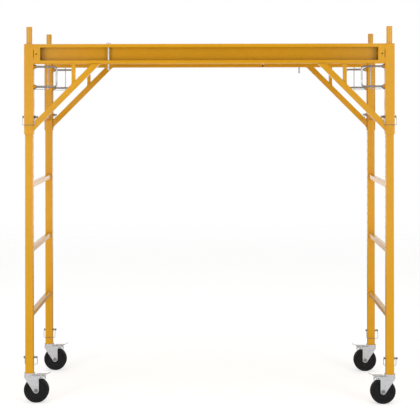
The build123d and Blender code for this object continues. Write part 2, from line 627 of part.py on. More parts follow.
def deck_panel():
    edge_x = DECK_X - TRIM_THICKNESS
    edge_y = DECK_Y - TRIM_THICKNESS
    panel = block(-edge_x, edge_x, -edge_y, edge_y, DECK_BOTTOM, RAIL_TOP)
    panel -= [strike_plate(side) for side in (-1, 1)]
    return panel - [Pos(x, y, 0) * deck_screw() for x, y in screw_places()]


def deck_edge_trim():
    """Steel strips round the panel's edges, with the two strike plates that the latch tabs sit over."""
    edge_x = DECK_X - TRIM_THICKNESS
    edge_y = DECK_Y - TRIM_THICKNESS
    strips = []
    for side in (-1, 1):
        strips.append(strike_plate(side))
        strips.append(block(-DECK_X, DECK_X, side * edge_y, side * DECK_Y, DECK_BOTTOM, RAIL_TOP))
        strips.append(block(side * edge_x, side * DECK_X, -edge_y, edge_y, DECK_BOTTOM, RAIL_TOP))
    return group(strips)


def deck_stiffeners():
    """Channels across the underside of the deck, open downwards."""
    channel = block(
        -STIFFENER_WIDTH / 2, STIFFENER_WIDTH / 2,
        -STIFFENER_HALF_LENGTH, STIFFENER_HALF_LENGTH,
        DECK_BOTTOM - STIFFENER_DEPTH, DECK_BOTTOM,
    )
    hollow = STIFFENER_WIDTH / 2 - TRIM_THICKNESS
    channel -= block(
        -hollow, hollow,
        -STIFFENER_HALF_LENGTH, STIFFENER_HALF_LENGTH,
        DECK_BOTTOM - STIFFENER_DEPTH, DECK_BOTTOM - TRIM_THICKNESS,
    )
    channel -= [rod_z(SCREW_RADIUS, DECK_BOTTOM - STIFFENER_DEPTH, DECK_BOTTOM, 0, y) for y in SCREW_Y]
    return group([Pos(x, 0, 0) * channel for x in (-STIFFENER_SPACING, 0.0, STIFFENER_SPACING)])


def deck_latch(side_y):
    """Upright rod through both rail flanges with a tab that turns over the deck's edge."""
    x = side_y * LATCH_X
    y = side_y * LATCH_Y
    tab_bottom = RAIL_TOP + TAB_LIFT
    rod = rod_z(LATCH_RADIUS, RAIL_BOTTOM - LATCH_DROP, tab_bottom, x, y)
    rod = chamfer(rod.edges().sort_by(Axis.Z)[0], LATCH_CHAMFER)
    reach = side_y * (TAB_REACH - TAB_WIDTH / 2)
    outline = Circle(TAB_WIDTH / 2) + Pos(0, -reach / 2) * Rectangle(TAB_WIDTH, abs(reach))
    outline += Pos(0, -reach) * RectangleRounded(TAB_WIDTH, TAB_WIDTH, TAB_CORNER)
    tab = Pos(x, y, tab_bottom) * extrude(outline, TAB_THICKNESS)
    tab_top = tab_bottom + TAB_THICKNESS
    hub = rod_z(LATCH_HUB_RADIUS, tab_bottom, tab_top + LATCH_HUB_HEIGHT, x, y)
    hub = chamfer(hub.edges().sort_by(Axis.Z)[-1], LATCH_HUB_CHAMFER)
    return rod + tab + hub


# ---------------------------------------------------------------- nodes
def build_nodes():
    nodes = {}
    everywhere = list(CORNERS.values())
    stem = caster_stem()
    plate = caster_top_plate()
    caster = {
        "caster_fork": caster_fork(),
        "caster_wheel": caster_wheel(),
        "caster_fasteners": caster_fasteners(),
        "brake_lever": brake_lever(),
    }
    for corner, (sx, sy) in CORNERS.items():
        nodes[f"{corner}_leg"] = leg(sx, sy)
        for name, shape in caster.items():
            nodes[f"{corner}_{name}"] = at_caster(shape, sx, sy)
        faces = caster_pin_faces(sx)
        reach = -sy * (LEG_HALF + BAIL_CLEARANCE)
        nodes[f"{corner}_caster_pin_bail"] = wire_bail(faces, CASTER_EYE, sy * LEG_Y, FIRST_HOLE, reach)
        faces = sleeve_pin_faces(sx)
        reach = sy * (RAIL_FRONT - LEG_Y + BAIL_CLEARANCE)
        pin_z = hole_height(SLEEVE_PIN_HOLE)
        nodes[f"{corner}_sleeve_pin_bail"] = wire_bail(faces, SLEEVE_EYE, sy * LEG_Y, pin_z, reach)
        nodes[f"{corner}_platform_lock"] = platform_lock(sx, sy)
        nodes[f"{corner}_lock_springs"] = lock_springs(sx, sy)
    nodes["left_ladder_rungs"] = rungs(-1)
    nodes["right_ladder_rungs"] = rungs(1)
    nodes["stacking_spigots"] = group([stacking_spigot(sx, sy) for sx, sy in everywhere])
    nodes["caster_stems"] = group([at_caster(stem, sx, sy) for sx, sy in everywhere])
    nodes["caster_top_plates"] = group([at_caster(plate, sx, sy) for sx, sy in everywhere])
    pins = [lock_pin(*caster_pin_faces(sx), sy * LEG_Y, FIRST_HOLE) for sx, sy in everywhere]
    nodes["caster_lock_pins"] = group(pins)
    pin_z = hole_height(SLEEVE_PIN_HOLE)
    pins = [lock_pin(*sleeve_pin_faces(sx), sy * LEG_Y, pin_z) for sx, sy in everywhere]
    nodes["sleeve_lock_pins"] = group(pins)
    for row, sy in (("front", -1), ("rear", 1)):
        nodes[f"{row}_side_rail"] = side_rail(sy)
        nodes[f"{row}_sleeves"] = group([sleeve(sx, sy) for sx in (-1, 1)])
        nodes[f"{row}_braces"] = group([brace(sx, sy) for sx in (-1, 1)])
        nodes[f"{row}_deck_latch"] = deck_latch(sy)
    nodes["brace_struts"] = group([strut(sx, sy) for sx, sy in everywhere])
    nodes["rail_end_plates"] = group([end_plate(sx, sy) for sx, sy in everywhere])
    bushes = [guide_bush(sx, sy, k) for sx, sy in everywhere for k in (LOCK_UPPER_HOLE, LOCK_LOWER_HOLE)]
    nodes["lock_guide_bushes"] = group(bushes)
    nodes["lock_guide_straps"] = group([guide_strap(sx, sy) for sx, sy in everywhere])
    nodes["deck_ledges"] = group([deck_ledge(sy) for sy in (-1, 1)])
    nodes["deck_panel"] = deck_panel()
    nodes["deck_edge_trim"] = deck_edge_trim()
    nodes["deck_stiffeners"] = deck_stiffeners()
    nodes["deck_screws"] = group([Pos(x, y, 0) * deck_screw() for x, y in screw_places()])
    return nodes


os.makedirs("parts", exist_ok=True)
for node_name, node_shape in build_nodes().items():
    export_step(node_shape, f"parts/{node_name}.step")
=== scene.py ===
import json
import math

import bpy
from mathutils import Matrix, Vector, noise


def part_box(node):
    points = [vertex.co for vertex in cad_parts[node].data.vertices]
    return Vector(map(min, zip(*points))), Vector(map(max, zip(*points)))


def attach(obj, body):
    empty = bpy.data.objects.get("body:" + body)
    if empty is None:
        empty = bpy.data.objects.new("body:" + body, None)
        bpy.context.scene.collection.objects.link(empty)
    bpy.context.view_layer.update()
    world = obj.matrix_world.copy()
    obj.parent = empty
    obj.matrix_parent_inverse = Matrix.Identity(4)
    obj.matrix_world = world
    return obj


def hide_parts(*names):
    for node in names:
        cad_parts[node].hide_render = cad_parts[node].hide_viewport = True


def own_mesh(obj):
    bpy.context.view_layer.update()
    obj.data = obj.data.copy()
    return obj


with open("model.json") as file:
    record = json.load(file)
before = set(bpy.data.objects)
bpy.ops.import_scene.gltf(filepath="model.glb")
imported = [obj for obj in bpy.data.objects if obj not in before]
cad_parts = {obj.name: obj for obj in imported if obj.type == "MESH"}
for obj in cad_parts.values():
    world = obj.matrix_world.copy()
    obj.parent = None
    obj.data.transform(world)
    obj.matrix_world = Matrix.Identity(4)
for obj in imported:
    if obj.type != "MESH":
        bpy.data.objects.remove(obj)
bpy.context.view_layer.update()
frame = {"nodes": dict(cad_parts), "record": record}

# Looks of the baker scaffold: materials on the CAD nodes, weld beads and coil springs as mesh pieces, and
# a white studio. Everything is in metres, in the CAD frame: X along the platform, -Y to the front, +Z up.

X = Vector((1, 0, 0))
Y = Vector((0, 1, 0))
Z = Vector((0, 0, 1))
SIDES = (-1, 1)
CORNERS = {"front_left": (-1, -1), "front_right": (1, -1), "rear_left": (-1, 1), "rear_right": (1, 1)}
ROD_NODES = (                          # nodes whose names end like this get the steel_rod look
    "platform_lock", "lock_pins", "caster_fasteners", "deck_latch", "deck_screws", "lock_guide_straps",
)

# ---- colours, linear
ORANGE = (0.85, 0.405, 0.005)
ORANGE_THIN = (0.86, 0.44, 0.020)      # where the coat is thin over an edge
ORANGE_SCUFF = (0.95, 0.62, 0.14)
PRIMER = (0.30, 0.27, 0.24)
PAINTED_CAVITY_SHADE = (0.080, 0.030, 0.006)    # painted shade inside holes and closed corners, mixed in by ambient occlusion
ZINC_LIGHT = (0.92, 0.93, 0.96)
ZINC_DARK = (0.78, 0.79, 0.82)
ZINC_WARM = (0.80, 0.78, 0.72)
ZINC_EDGE = (0.88, 0.88, 0.89)
STEEL_LIGHT = (0.54, 0.54, 0.54)
STEEL_DARK = (0.38, 0.38, 0.38)
STEEL_PIT = (0.16, 0.15, 0.14)
STEEL_EDGE = (0.72, 0.72, 0.73)
COIL_LIGHT = (0.62, 0.62, 0.63)
COIL_DARK = (0.46, 0.46, 0.47)
WIRE_LIGHT = (0.40, 0.40, 0.42)
WIRE_DARK = (0.22, 0.22, 0.24)
WHEEL_BLACK = (0.011, 0.011, 0.012)
WHEEL_GREY = (0.040, 0.039, 0.038)
PLY_PALE = (0.62, 0.43, 0.23)
PLY_MID = (0.47, 0.29, 0.13)
PLY_DARK = (0.25, 0.13, 0.055)
SHOE_MARK = (0.20, 0.17, 0.14)
FLOOR_WHITE = (0.90, 0.90, 0.90)
WHITE = (1.0, 1.0, 1.0)
SOFT_WHITE = (1.0, 0.995, 0.985)

# ---- weld beads
BEAD_RADIUS = 0.0021
THIN_BEAD = 0.0018                     # round spigots and struts, and between a rail's web and its sleeve
PLUG_BEAD = 0.0013
BUSH_BEAD = 0.0017
STRAP_BEAD = 0.0016
LIP_BEAD = 0.0024
BEAD_SIDES = 7
BEAD_STEP = 0.0011                     # distance between rings along a bead
RIPPLE_PITCH = 0.0033
RIPPLE_DEPTH = 0.16                    # share of the bead's radius
BEAD_WANDER = 0.14                     # slow unevenness, as a share of the bead's radius
WANDER_SCALE = 90.0
END_TAPER = (0.45, 0.8)                # size of the first and second rings from an open bead's end
RUNG_COUNT = 5
RUNG_CORNER = 0.003
PLUG_INSET = 0.002                     # from a leg's faces to the bead round its plug
PLUG_CORNER = 0.002
SPIGOT_RADIUS = 0.0151
BRACE_CORNER = 0.004
STRUT_CORNER = 0.002
RAIL_CORNER = 0.008
SEAM_INSET = 0.005                     # from a rail's edges to a bead's end
SEAM_LENGTH = 0.032                    # reach of the weld at each end of the seam between rail and sleeve
LIP_SEAM_SIDE = 0.0008                 # from the sleeve's face to the middle of the bead at the lips
LIP_SEAM_BACK = 0.0016                 # and from the lips' face
STRAP_HALF = 0.0015                    # half of a strap's thickness
STRAP_CORNER = 0.0005
SPRING_SEAT = 0.0016                   # from a spring's end to the middle of its strap

# ---- lock springs
COIL_WIRE = 0.0008
COIL_RADIUS = 0.0062
COIL_TURNS = 8
CLOSED_TURNS = 1.0                     # flattened turns at each end
COIL_STEPS = 28                        # rings a turn
COIL_SIDES = 10

# ---- camera and studio
CAMERA_PLACE = Vector((0.02916, -6.19591, 1.54450))
CAMERA_YAW = 0.0191
CAMERA_ROLL = 0.0012
CAMERA_LENS = 98.995
CAMERA_SENSOR = 36.0
CAMERA_SHIFT_SIDE = 0.04158
CAMERA_SHIFT_UP = -0.26760
FLOOR_RADIUS = 9.0
FLOOR_LIFT = 0.52                      # added for the camera only, so that the floor meets the surround
FLOOR_GLOW = 0.22                      # the lit sweep's light on matt surfaces, from below
FLOOR_IN_REFLECTIONS = (0.42, 0.42, 0.42)
SOFT_LEVEL = 0.46                      # even light from all round
ROOM_LEVEL = 1.55                      # brightest part of what glossy surfaces mirror
GAP_DARK = 0.97                        # share of that light missing in the gap, on the walls and below
WALL_DARK = 0.78
GROUND_DARK = 0.45
OVERHEAD_POWER = 34.0
PANEL_POWER = 52.0
PANEL_WIDTH = 1.8
PANEL_HEIGHT = 2.6
PANEL_AIM = (0.0, 0.0, 1.1)


# ---------------------------------------------------------------- node trees
class Tree:
    """A node tree with short ways to add nodes. A socket given as a value is linked; anything else is set."""

    def __init__(self, tree):
        self.tree = tree
        self.tree.nodes.clear()

    def add(self, kind, inputs=None, **settings):
        node = self.tree.nodes.new(kind)
        for name, value in settings.items():
            setattr(node, name, value)
        for name, value in (inputs or {}).items():
            socket = node.inputs[name]
            if isinstance(value, bpy.types.NodeSocket):
                self.tree.links.new(value, socket)
            elif socket.type == "RGBA":
                socket.default_value = (*value, 1.0)
            else:
                socket.default_value = value
        return node

    def math(self, operation, a, b=0.0, clamp=False):
        return self.add("ShaderNodeMath", {0: a, 1: b}, operation=operation, use_clamp=clamp).outputs[0]

    def mix(self, factor, a, b):
        node = self.add("ShaderNodeMix", data_type="RGBA", clamp_factor=True)
        for index, value in ((0, factor), (6, a), (7, b)):
            if isinstance(value, bpy.types.NodeSocket):
                self.tree.links.new(value, node.inputs[index])
            elif index:
                node.inputs[index].default_value = (*value, 1.0)
            else:
                node.inputs[index].default_value = value
        return node.outputs[2]

    def span(self, value, low, high, to_low=0.0, to_high=1.0):
        """Maps low..high smoothly to to_low..to_high and holds the ends."""
        inputs = {"Value": value, "From Min": low, "From Max": high, "To Min": to_low, "To Max": to_high}
        return self.add("ShaderNodeMapRange", inputs, interpolation_type="SMOOTHSTEP").outputs[0]

    def place(self):
        return self.add("ShaderNodeTexCoord").outputs["Object"]

    def stretch(self, vector, scale):
        return self.add("ShaderNodeMapping", {"Vector": vector, "Scale": scale}).outputs[0]

    def noise(self, vector, scale, detail=3.0, roughness=0.5, distortion=0.0):
        inputs = {"Vector": vector, "Scale": scale, "Detail": detail}
        inputs |= {"Roughness": roughness, "Distortion": distortion}
        return self.add("ShaderNodeTexNoise", inputs).outputs["Fac"]

    def split(self, vector):
        return self.add("ShaderNodeSeparateXYZ", {0: vector}).outputs

    def bump(self, height, distance, strength=1.0, normal=None):
        inputs = {"Height": height, "Distance": distance, "Strength": strength}
        if normal is not None:
            inputs["Normal"] = normal
        return self.add("ShaderNodeBump", inputs).outputs[0]

    def edges(self, radius):
        """(rounded normal, how close to a sharp edge the point is, 0 to 1)."""
        rounded = self.add("ShaderNodeBevel", {"Radius": radius}, samples=4).outputs[0]
        flat = self.add("ShaderNodeNewGeometry").outputs["Normal"]
        dot = self.add("ShaderNodeVectorMath", {0: rounded, 1: flat}, operation="DOT_PRODUCT")
        same = dot.outputs["Value"]
        return rounded, self.span(self.math("SUBTRACT", 1.0, same), 0.0, 0.16)

    def surface(self, **inputs):
        values = {name.replace("_", " "): value for name, value in inputs.items()}
        shader = self.add("ShaderNodeBsdfPrincipled", values)
        self.add("ShaderNodeOutputMaterial", {"Surface": shader.outputs[0]})


def material(name):
    made = bpy.data.materials.new(name)
    made.use_nodes = True
    return made, Tree(made.node_tree)


# ---------------------------------------------------------------- materials
def powder_coat():
    """Semi-gloss powder coat: orange peel, slow shade drift, light scuffs, a thin coat and a few chips along
    edges, and painted shade in holes and closed corners, from ambient occlusion."""
    made, t = material("powder_coat")
    place = t.place()
    rounded, edge = t.edges(0.0012)
    drift = t.noise(place, 2.3, 2.0)
    mottle = t.noise(place, 38.0, 3.0, 0.6)
    peel = t.noise(place, 420.0, 2.0, 0.45)
    grit = t.noise(place, 1700.0, 1.0)
    scuff_field = t.noise(t.stretch(place, (260.0, 260.0, 9.0)), 1.0, 4.0, 0.65, 0.3)
    scuff = t.span(scuff_field, 0.64, 0.78)
    chip_field = t.noise(place, 95.0, 4.0, 0.7)
    chip = t.math("MULTIPLY", edge, t.span(chip_field, 0.66, 0.70))
    shade = t.span(drift, 0.3, 0.7, 0.955, 1.035)
    shade = t.math("MULTIPLY", shade, t.span(mottle, 0.25, 0.75, 0.975, 1.02))
    tint = t.add("ShaderNodeHueSaturation", {"Value": shade, "Color": ORANGE}).outputs[0]
    thin = t.math("MULTIPLY", edge, 0.35)
    colour = t.mix(thin, tint, ORANGE_THIN)
    colour = t.mix(t.math("MULTIPLY", scuff, 0.10), colour, ORANGE_SCUFF)
    colour = t.mix(chip, colour, PRIMER)
    # painted shade: where ambient occlusion finds little open space, in holes and closed corners, the colour
    # turns dark brown
    open_share = t.add("ShaderNodeAmbientOcclusion", {"Distance": 0.08}, samples=6).outputs["AO"]
    colour = t.mix(t.span(open_share, 0.40, 0.14, 0.0, 0.9), colour, PAINTED_CAVITY_SHADE)
    rough = t.span(mottle, 0.3, 0.7, 0.30, 0.38)
    rough = t.math("ADD", rough, t.math("MULTIPLY", scuff, 0.14))
    height = t.math("ADD", peel, t.math("MULTIPLY", grit, 0.16))
    height = t.math("SUBTRACT", height, t.math("MULTIPLY", chip, 1.4))
    normal = t.bump(height, 0.000012, 0.8, rounded)
    t.surface(
        Base_Color=colour, Roughness=rough, Normal=normal, IOR=1.5, Specular_IOR_Level=0.22,
        Coat_Weight=0.6, Coat_Roughness=0.11,
    )
    return made


def zinc_plate():
    """Bright zinc plate: cloudy spangle, a faint warm passivation, tumbling scratches and worn edges."""
    made, t = material("zinc_plate")
    place = t.place()
    rounded, edge = t.edges(0.0007)
    cloud = t.noise(place, 55.0, 4.0, 0.6)
    cells = t.add("ShaderNodeTexVoronoi", {"Vector": place, "Scale": 240.0}).outputs["Color"]
    spangle = t.split(cells)[0]
    warm = t.span(t.noise(place, 21.0, 2.0), 0.5, 0.75)
    scratch_a = t.noise(t.stretch(place, (1500.0, 60.0, 130.0)), 1.0, 2.0, 0.6, 0.6)
    scratch_b = t.noise(t.stretch(place, (90.0, 1400.0, 240.0)), 1.0, 2.0, 0.6, 0.6)
    scratches = t.math("MAXIMUM", t.span(scratch_a, 0.62, 0.70), t.span(scratch_b, 0.63, 0.70))
    colour = t.mix(t.span(cloud, 0.3, 0.72), ZINC_LIGHT, ZINC_DARK)
    colour = t.mix(t.math("MULTIPLY", spangle, 0.16), colour, ZINC_DARK)
    colour = t.mix(t.math("MULTIPLY", warm, 0.35), colour, ZINC_WARM)
    colour = t.mix(t.math("MULTIPLY", edge, 0.3), colour, ZINC_EDGE)
    rough = t.span(cloud, 0.3, 0.7, 0.30, 0.42)
    rough = t.math("ADD", rough, t.math("MULTIPLY", spangle, 0.05))
    rough = t.math("ADD", rough, t.math("MULTIPLY", scratches, 0.08))
    height = t.math("SUBTRACT", t.math("MULTIPLY", cloud, 0.6), t.math("MULTIPLY", scratches, 0.5))
    normal = t.bump(height, 0.00002, 0.6, rounded)
    t.surface(Base_Color=colour, Metallic=0.45, Roughness=rough, Normal=normal, IOR=1.6)
    return made


def steel_rod():
    """Cold-drawn bar under thin plating: darker than the sheet, with fine grain, smudges and worn edges."""
    made, t = material("steel_rod")
    place = t.place()
    rounded, edge = t.edges(0.0005)
    smudge = t.noise(place, 75.0, 4.0, 0.65)
    grain = t.noise(place, 300.0, 3.0, 0.6)
    pits = t.span(t.noise(place, 1100.0, 2.0, 0.6), 0.68, 0.76)
    colour = t.mix(t.span(smudge, 0.35, 0.7), STEEL_LIGHT, STEEL_DARK)
    colour = t.mix(t.math("MULTIPLY", pits, 0.5), colour, STEEL_PIT)
    colour = t.mix(t.math("MULTIPLY", edge, 0.35), colour, STEEL_EDGE)
    rough = t.span(smudge, 0.3, 0.7, 0.30, 0.40)
    rough = t.math("ADD", rough, t.math("MULTIPLY", pits, 0.15))
    height = t.math("SUBTRACT", t.math("MULTIPLY", grain, 0.5), pits)
    normal = t.bump(height, 0.000002, 0.5, rounded)
    t.surface(Base_Color=colour, Metallic=0.95, Roughness=rough, Normal=normal)
    return made


def spring_wire(name, light, dark):
    """Drawn wire with a thin plating: a fine grain, darker patches and a little haze."""
    made, t = material(name)
    place = t.place()
    patches = t.noise(place, 130.0, 3.0, 0.6)
    grain = t.noise(place, 900.0, 2.0, 0.7)
    colour = t.mix(t.span(patches, 0.42, 0.75), light, dark)
    rough = t.span(patches, 0.3, 0.7, 0.16, 0.32)
    normal = t.bump(grain, 0.00001, 0.6)
    t.surface(Base_Color=colour, Metallic=1.0, Roughness=rough, Normal=normal)
    return made


def wheel_rubber(name, centre):
    """Moulded black wheel: rings from the mould on its sides, a fine grain, and a scuffed, dusty tread."""
    made, t = material(name)
    place = t.place()
    offset = t.add("ShaderNodeVectorMath", {0: place, 1: centre}, operation="SUBTRACT").outputs[0]
    x, _, z = t.split(offset)
    flat = t.add("ShaderNodeCombineXYZ", {0: x, 2: z}).outputs[0]
    radius = t.add("ShaderNodeVectorMath", {0: flat}, operation="LENGTH").outputs["Value"]
    rings = t.math("SINE", t.math("MULTIPLY", radius, 3600.0))
    grain = t.noise(place, 900.0, 3.0, 0.7)
    cloud = t.noise(place, 60.0, 4.0, 0.6)
    tread = t.span(radius, 0.0575, 0.0625)
    dust_field = t.noise(place, 210.0, 5.0, 0.7)
    dust = t.math("MULTIPLY", tread, t.span(dust_field, 0.40, 0.66))
    side_dust = t.math("MULTIPLY", t.span(cloud, 0.45, 0.8), 0.18)
    colour = t.mix(t.math("ADD", t.math("MULTIPLY", dust, 0.75), side_dust, True), WHEEL_BLACK, WHEEL_GREY)
    rough = t.span(cloud, 0.3, 0.7, 0.40, 0.52)
    rough = t.math("ADD", rough, t.math("MULTIPLY", tread, 0.18))
    side = t.math("SUBTRACT", 1.0, tread)
    height = t.math("MULTIPLY", t.math("MULTIPLY", rings, side), 0.12)
    height = t.math("ADD", height, t.math("MULTIPLY", grain, 0.5))
    height = t.math("ADD", height, t.math("MULTIPLY", dust_field, t.math("MULTIPLY", tread, 1.2)))
    normal = t.bump(height, 0.00006, 0.8)
    t.surface(Base_Color=colour, Roughness=rough, Normal=normal, Specular_IOR_Level=0.28)
    return made


def plywood():
    """Sanded plywood under a thin sealer: grain along X, pores, a few pin knots and footwear marks."""
    made, t = material("plywood")
    place = t.place()
    warp = t.noise(t.stretch(place, (1.3, 7.0, 7.0)), 1.0, 3.0, 0.55)
    y = t.split(place)[1]
    bands = t.math("SINE", t.math("ADD", t.math("MULTIPLY", y, 160.0), t.math("MULTIPLY", warp, 30.0)))
    fibre = t.noise(t.stretch(place, (9.0, 420.0, 420.0)), 1.0, 4.0, 0.65, 0.2)
    pores = t.span(t.noise(t.stretch(place, (40.0, 1500.0, 1500.0)), 1.0, 2.0, 0.6), 0.63, 0.72)
    sheets = t.noise(t.stretch(place, (0.8, 3.4, 3.4)), 1.0, 1.0)
    knot_field = t.add("ShaderNodeTexVoronoi", {"Vector": t.stretch(place, (1.0, 1.7, 1.7)), "Scale": 3.1})
    knot = t.span(knot_field.outputs["Distance"], 0.055, 0.02)
    marks = t.span(t.noise(place, 14.0, 5.0, 0.7), 0.56, 0.74)
    grain = t.math("ADD", t.span(bands, -1.0, 1.0, 0.0, 0.45), t.math("MULTIPLY", fibre, 0.6), True)
    colour = t.mix(grain, PLY_PALE, PLY_MID)
    colour = t.mix(t.math("MULTIPLY", t.span(sheets, 0.4, 0.6), 0.22), colour, PLY_MID)
    colour = t.mix(t.math("MULTIPLY", pores, 0.6), colour, PLY_DARK)
    colour = t.mix(t.math("MULTIPLY", knot, 0.85), colour, PLY_DARK)
    colour = t.mix(t.math("MULTIPLY", marks, 0.16), colour, SHOE_MARK)
    rough = t.span(fibre, 0.3, 0.7, 0.48, 0.62)
    height = t.math("SUBTRACT", t.math("MULTIPLY", fibre, 0.5), pores)
    normal = t.bump(height, 0.00012, 0.8)
    t.surface(
        Base_Color=colour, Roughness=rough, Normal=normal, IOR=1.5, Coat_Weight=0.15, Coat_Roughness=0.3,
    )
    return made


def studio_floor():
    """Matt white floor with a very faint tooth, lifted towards white for the camera and faded at its rim."""
    made, t = material("studio_floor")
    place = t.place()
    tooth = t.noise(place, 140.0, 3.0)
    shade = t.span(tooth, 0.3, 0.7, 0.97, 1.0)
    colour = t.add("ShaderNodeHueSaturation", {"Value": shade, "Color": FLOOR_WHITE}).outputs[0]
    rays = t.add("ShaderNodeLightPath").outputs
    colour = t.mix(rays["Is Glossy Ray"], colour, FLOOR_IN_REFLECTIONS)
    matt = t.add("ShaderNodeBsdfDiffuse", {"Color": colour})
    lift = t.math("MULTIPLY", rays["Is Camera Ray"], FLOOR_LIFT)
    lift = t.math("ADD", lift, t.math("MULTIPLY", rays["Is Diffuse Ray"], FLOOR_GLOW))
    glow = t.add("ShaderNodeEmission", {"Color": WHITE, "Strength": lift})
    matt = t.add("ShaderNodeAddShader", {0: matt.outputs[0], 1: glow.outputs[0]})
    clear = t.add("ShaderNodeBsdfTransparent")
    x, y, _ = t.split(place)
    flat = t.add("ShaderNodeCombineXYZ", {0: x, 1: y}).outputs[0]
    distance = t.add("ShaderNodeVectorMath", {0: flat}, operation="LENGTH").outputs["Value"]
    fade = t.span(distance, 0.25 * FLOOR_RADIUS, 0.98 * FLOOR_RADIUS)
    both = t.add("ShaderNodeMixShader", {0: fade, 1: matt.outputs[0], 2: clear.outputs[0]})
    t.add("ShaderNodeOutputMaterial", {"Surface": both.outputs[0]})
    return made


def give_materials():
    """Puts the finished material of each node's slot on that node. Returns the materials by slot."""
    finish = {"paint": powder_coat(), "zinc": zinc_plate(), "plywood": plywood()}
    finish["spring_steel"] = spring_wire("bail_wire", WIRE_LIGHT, WIRE_DARK)
    rod = steel_rod()
    for part in frame["record"]["subparts"]:
        node = part["node"]
        mesh = frame["nodes"][node].data
        if part["material_slot"] == "wheel":
            low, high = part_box(node)
            look = wheel_rubber(f"{node}_rubber", (low + high) / 2)
        elif node.endswith(ROD_NODES):
            look = rod
        else:
            look = finish[part["material_slot"]]
        for index in range(len(mesh.materials)):
            mesh.materials[index] = look
    return finish


# ---------------------------------------------------------------- mesh pieces
def piece(name, points, faces, look, body):
    """A smooth mesh object that rides on a body and takes its finish from a slot."""
    mesh = bpy.data.meshes.new(name)
    mesh.from_pydata(points, [], faces)
    mesh.validate()
    mesh.materials.append(look)
    mesh.shade_smooth()
    made = bpy.data.objects.new(name, mesh)
    bpy.context.scene.collection.objects.link(made)
    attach(made, body)
    return made


def tube_faces(first, rings, sides, closed):
    """Quads of a tube whose rings' points are numbered in order from first, with end caps unless closed."""
    faces = []
    for ring in range(rings if closed else rings - 1):
        a = first + ring * sides
        b = first + (ring + 1) % rings * sides
        for side in range(sides):
            after = (side + 1) % sides
            faces.append((a + side, a + after, b + after, b + side))
    if not closed:
        faces.append(tuple(first + side for side in reversed(range(sides))))
        faces.append(tuple(first + (rings - 1) * sides + side for side in range(sides)))
    return faces


def even_points(corners, closed, step):
    """Points every step or so along straight stretches between corners."""
    points = []
    ends = corners[1:] + corners[:1] if closed else corners[1:]
    for start, end in zip(corners, ends):
        count = max(1, round((end - start).length / step))
        points += [start.lerp(end, index / count) for index in range(count)]
    if not closed:
        points.append(corners[-1])
    return points


def rounded_loop(centre, u, v, half_u, half_v, corner):
    """Corners of a rounded rectangle's outline, with each round corner in short steps."""
    points = []
    for number, (su, sv) in enumerate(((1, 1), (-1, 1), (-1, -1), (1, -1))):
        middle = centre + u * su * (half_u - corner) + v * sv * (half_v - corner)
        for step in range(4):
            angle = math.radians(90 * number + 30 * step)
            points.append(middle + (u * math.cos(angle) + v * math.sin(angle)) * corner)
    return points


def circle_loop(centre, u, v, radius):
    """Corners of a circle's outline."""
    count = 36
    turn = 2 * math.pi / count
    return [centre + (u * math.cos(turn * k) + v * math.sin(turn * k)) * radius for k in range(count)]


class Beads:
    """Weld beads that are collected into one piece for each body."""

    def __init__(self):
        self.points = []
        self.faces = []

    def run(self, corners, closed=True, radius=BEAD_RADIUS):
        path = even_points(corners, closed, BEAD_STEP)
        count = len(path)
        first = len(self.points)
        for index, here in enumerate(path):
            before = path[index - 1] if closed or index else here
            after = path[(index + 1) % count] if closed or index < count - 1 else here
            along = (after - before).normalized()
            across = along.orthogonal().normalized()
            up = along.cross(across)
            phase = 2 * math.pi * index * BEAD_STEP / RIPPLE_PITCH
            wander = noise.noise(here * WANDER_SCALE)
            size = radius * (1.0 + 0.5 * RIPPLE_DEPTH * math.cos(phase) + BEAD_WANDER * wander)
            from_end = min(index, count - 1 - index)
            if not closed and from_end < len(END_TAPER):
                size *= END_TAPER[from_end]
            for side in range(BEAD_SIDES):
                angle = 2 * math.pi * side / BEAD_SIDES
                self.points.append(here + (across * math.cos(angle) + up * math.sin(angle)) * size)
        self.faces += tube_faces(first, count, BEAD_SIDES, closed)

    def finish(self, name, look, body):
        return piece(name, self.points, self.faces, look, body)


def end_frame_welds(look):
    """Beads round both ends of every rung and round the plugs and spigots at the legs' tops."""
    beads = Beads()
    for side in ("left", "right"):
        low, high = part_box(f"{side}_ladder_rungs")
        size = high.x - low.x
        x = (low.x + high.x) / 2
        pitch = (high.z - low.z - size) / (RUNG_COUNT - 1)
        for number in range(RUNG_COUNT):
            z = low.z + size / 2 + number * pitch
            for y in (low.y, high.y):
                beads.run(rounded_loop(Vector((x, y, z)), X, Z, size / 2, size / 2, RUNG_CORNER))
    for corner in CORNERS:
        low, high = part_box(f"{corner}_leg")
        top = Vector(((low.x + high.x) / 2, (low.y + high.y) / 2, high.z))
        half = (high.x - low.x) / 2 - PLUG_INSET
        beads.run(rounded_loop(top, X, Y, half, half, PLUG_CORNER), radius=PLUG_BEAD)
        beads.run(circle_loop(top, X, Y, SPIGOT_RADIUS), radius=THIN_BEAD)
    return beads.finish("end_frame_welds", look, "end_frames")


def platform_welds(look):
    """Beads at the braces, struts, sleeves, straps and bushes of both side rails."""
    beads = Beads()
    for row, side_y in (("front", -1), ("rear", 1)):
        for side_x in SIDES:
            brace_welds(beads, row, side_x)
            rail_end_welds(beads, row, side_x, side_y)
    strut_welds(beads)
    lock_guide_welds(beads)
    return beads.finish("platform_welds", look, "platform")


def brace_welds(beads, row, side_x):
    """Beads round a brace's slanted ends, at its sleeve and under its rail. The brace rises at 45 degrees."""
    rail_low, rail_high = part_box(f"{row}_side_rail")
    low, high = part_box(f"{row}_braces")
    size = high.y - low.y
    y = (low.y + high.y) / 2
    slant = size / 2 * math.sqrt(2)
    across_and_up = rail_high.x + low.z + slant      # x + z, the same all along the brace's middle
    foot = Vector((side_x * rail_high.x, y, across_and_up - rail_high.x))
    beads.run(rounded_loop(foot, Z, Y, slant, size / 2, BRACE_CORNER))
    top = Vector((side_x * (across_and_up - rail_low.z), y, rail_low.z))
    beads.run(rounded_loop(top, X, Y, slant, size / 2, BRACE_CORNER))


